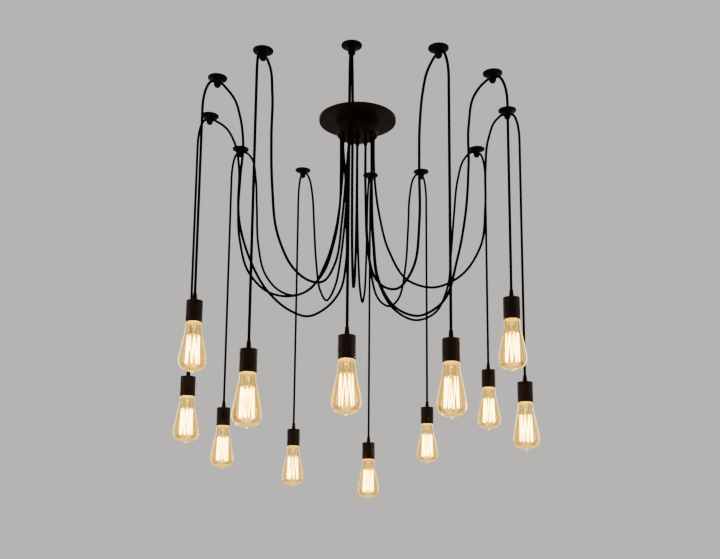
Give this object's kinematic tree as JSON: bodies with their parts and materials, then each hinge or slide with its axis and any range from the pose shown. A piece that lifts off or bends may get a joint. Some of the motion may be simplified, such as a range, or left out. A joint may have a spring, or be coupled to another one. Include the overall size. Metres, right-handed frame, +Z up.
{
  "type": "spider pendant light",
  "caption": "Ceiling light with a central canopy and cords swagged to separate ceiling hooks, each cord ending in a hanging lampholder with a teardrop bulb.",
  "frame": {"origin": "on the ceiling, at the middle of the crossbar's top face, under which the canopy hangs", "axes": "+Z up to the ceiling, -Y towards the front of the light, from where the picture was taken"},
  "size_m": [0.9022, 0.8931, 1.0003],
  "materials": {
    "canopy_black": "satin",
    "grip_black": "gloss",
    "hook_black": "gloss",
    "holder_black": "satin gloss",
    "cord_black": "braided textile",
    "amber_glass": "clear amber tint",
    "zinc_steel": "zinc plated",
    "block_white": "moulded"
  },
  "bodies": {
    "ceiling_frame": {"canopy_pan": "canopy_black", "canopy_cup": "canopy_black", "cord_grips": "grip_black", "swag_cords": "cord_black", "crossbar": "zinc_steel", "centre_stud": "zinc_steel", "lock_nut": "zinc_steel", "cap_nut": "canopy_black", "terminal_block": "block_white", "ceiling_screw_1": "zinc_steel", "ceiling_screw_2": "zinc_steel", "earth_screw": "zinc_steel", "hook_01": "hook_black", "hook_02": "hook_black", "hook_03": "hook_black", "hook_04": "hook_black", "hook_05": "hook_black", "hook_06": "hook_black", "hook_07": "hook_black", "hook_08": "hook_black", "hook_09": "hook_black", "hook_10": "hook_black", "hook_11": "hook_black", "hook_12": "hook_black"},
    "pendant_01": {"drop_cord_01": "cord_black", "lampholder_01": "holder_black"},
    "bulb_01": {"bulb_01": "amber_glass"},
    "pendant_02": {"drop_cord_02": "cord_black", "lampholder_02": "holder_black"},
    "bulb_02": {"bulb_02": "amber_glass"},
    "pendant_03": {"drop_cord_03": "cord_black", "lampholder_03": "holder_black"},
    "bulb_03": {"bulb_03": "amber_glass"},
    "pendant_04": {"drop_cord_04": "cord_black", "lampholder_04": "holder_black"},
    "bulb_04": {"bulb_04": "amber_glass"},
    "pendant_05": {"drop_cord_05": "cord_black", "lampholder_05": "holder_black"},
    "bulb_05": {"bulb_05": "amber_glass"},
    "pendant_06": {"drop_cord_06": "cord_black", "lampholder_06": "holder_black"},
    "bulb_06": {"bulb_06": "amber_glass"},
    "pendant_07": {"drop_cord_07": "cord_black", "lampholder_07": "holder_black"},
    "bulb_07": {"bulb_07": "amber_glass"},
    "pendant_08": {"drop_cord_08": "cord_black", "lampholder_08": "holder_black"},
    "bulb_08": {"bulb_08": "amber_glass"},
    "pendant_09": {"drop_cord_09": "cord_black", "lampholder_09": "holder_black"},
    "bulb_09": {"bulb_09": "amber_glass"},
    "pendant_10": {"drop_cord_10": "cord_black", "lampholder_10": "holder_black"},
    "bulb_10": {"bulb_10": "amber_glass"},
    "pendant_11": {"drop_cord_11": "cord_black", "lampholder_11": "holder_black"},
    "bulb_11": {"bulb_11": "amber_glass"},
    "pendant_12": {"drop_cord_12": "cord_black", "lampholder_12": "holder_black"},
    "bulb_12": {"bulb_12": "amber_glass"}
  },
  "joints": [
    {"name": "pendant_swing_01", "type": "hinge", "parent": "ceiling_frame", "child": "pendant_01", "pos_m": [-0.01551, -0.40553, -0.09], "axis": [-0.9993, 0.0375, 0], "range_deg": [-10, 10]},
    {"name": "bulb_release_01", "type": "slide", "parent": "pendant_01", "child": "bulb_01", "axis": [0, 0, -1], "range_m": [0, 0.03]},
    {"name": "pendant_swing_02", "type": "hinge", "parent": "ceiling_frame", "child": "pendant_02", "pos_m": [-0.22262, -0.37536, -0.09], "axis": [-0.851, 0.5252, 0], "range_deg": [-10, 10]},
    {"name": "bulb_release_02", "type": "slide", "parent": "pendant_02", "child": "bulb_02", "axis": [0, 0, -1], "range_m": [0, 0.03]},
    {"name": "pendant_swing_03", "type": "hinge", "parent": "ceiling_frame", "child": "pendant_03", "pos_m": [-0.36808, -0.23525, -0.09], "axis": [-0.5516, 0.8341, 0], "range_deg": [-10, 10]},
    {"name": "bulb_release_03", "type": "slide", "parent": "pendant_03", "child": "bulb_03", "axis": [0, 0, -1], "range_m": [0, 0.03]},
    {"name": "pendant_swing_04", "type": "hinge", "parent": "ceiling_frame", "child": "pendant_04", "pos_m": [-0.42065, -0.01556, -0.09], "axis": [-0.0412, 0.9992, 0], "range_deg": [-10, 10]},
    {"name": "bulb_release_04", "type": "slide", "parent": "pendant_04", "child": "bulb_04", "axis": [0, 0, -1], "range_m": [0, 0.03]},
    {"name": "pendant_swing_05", "type": "hinge", "parent": "ceiling_frame", "child": "pendant_05", "pos_m": [-0.36577, 0.21624, -0.09], "axis": [0.5085, 0.8611, 0], "range_deg": [-10, 10]},
    {"name": "bulb_release_05", "type": "slide", "parent": "pendant_05", "child": "bulb_05", "axis": [0, 0, -1], "range_m": [0, 0.03]},
    {"name": "pendant_swing_06", "type": "hinge", "parent": "ceiling_frame", "child": "pendant_06", "pos_m": [-0.18339, 0.38472, -0.09], "axis": [0.9076, 0.4199, 0], "range_deg": [-10, 10]},
    {"name": "bulb_release_06", "type": "slide", "parent": "pendant_06", "child": "bulb_06", "axis": [0, 0, -1], "range_m": [0, 0.03]},
    {"name": "pendant_swing_07", "type": "hinge", "parent": "ceiling_frame", "child": "pendant_07", "pos_m": [0.03958, 0.42376, -0.09], "axis": [0.9935, -0.1135, 0], "range_deg": [-10, 10]},
    {"name": "bulb_release_07", "type": "slide", "parent": "pendant_07", "child": "bulb_07", "axis": [0, 0, -1], "range_m": [0, 0.03]},
    {"name": "pendant_swing_08", "type": "hinge", "parent": "ceiling_frame", "child": "pendant_08", "pos_m": [0.21317, 0.38716, -0.09], "axis": [0.8794, -0.4761, 0], "range_deg": [-10, 10]},
    {"name": "bulb_release_08", "type": "slide", "parent": "pendant_08", "child": "bulb_08", "axis": [0, 0, -1], "range_m": [0, 0.03]},
    {"name": "pendant_swing_09", "type": "hinge", "parent": "ceiling_frame", "child": "pendant_09", "pos_m": [0.36929, 0.20233, -0.09], "axis": [0.476, -0.8794, 0], "range_deg": [-10, 10]},
    {"name": "bulb_release_09", "type": "slide", "parent": "pendant_09", "child": "bulb_09", "axis": [0, 0, -1], "range_m": [0, 0.03]},
    {"name": "pendant_swing_10", "type": "hinge", "parent": "ceiling_frame", "child": "pendant_10", "pos_m": [0.41806, -0.06636, -0.09], "axis": [-0.1736, -0.9848, 0], "range_deg": [-10, 10]},
    {"name": "bulb_release_10", "type": "slide", "parent": "pendant_10", "child": "bulb_10", "axis": [0, 0, -1], "range_m": [0, 0.03]},
    {"name": "pendant_swing_11", "type": "hinge", "parent": "ceiling_frame", "child": "pendant_11", "pos_m": [0.35119, -0.27366, -0.09], "axis": [-0.6332, -0.774, 0], "range_deg": [-10, 10]},
    {"name": "bulb_release_11", "type": "slide", "parent": "pendant_11", "child": "bulb_11", "axis": [0, 0, -1], "range_m": [0, 0.03]},
    {"name": "pendant_swing_12", "type": "hinge", "parent": "ceiling_frame", "child": "pendant_12", "pos_m": [0.2015, -0.39394, -0.09], "axis": [-0.8982, -0.4397, 0], "range_deg": [-10, 10]},
    {"name": "bulb_release_12", "type": "slide", "parent": "pendant_12", "child": "bulb_12", "axis": [0, 0, -1], "range_m": [0, 0.03]}
  ]
}
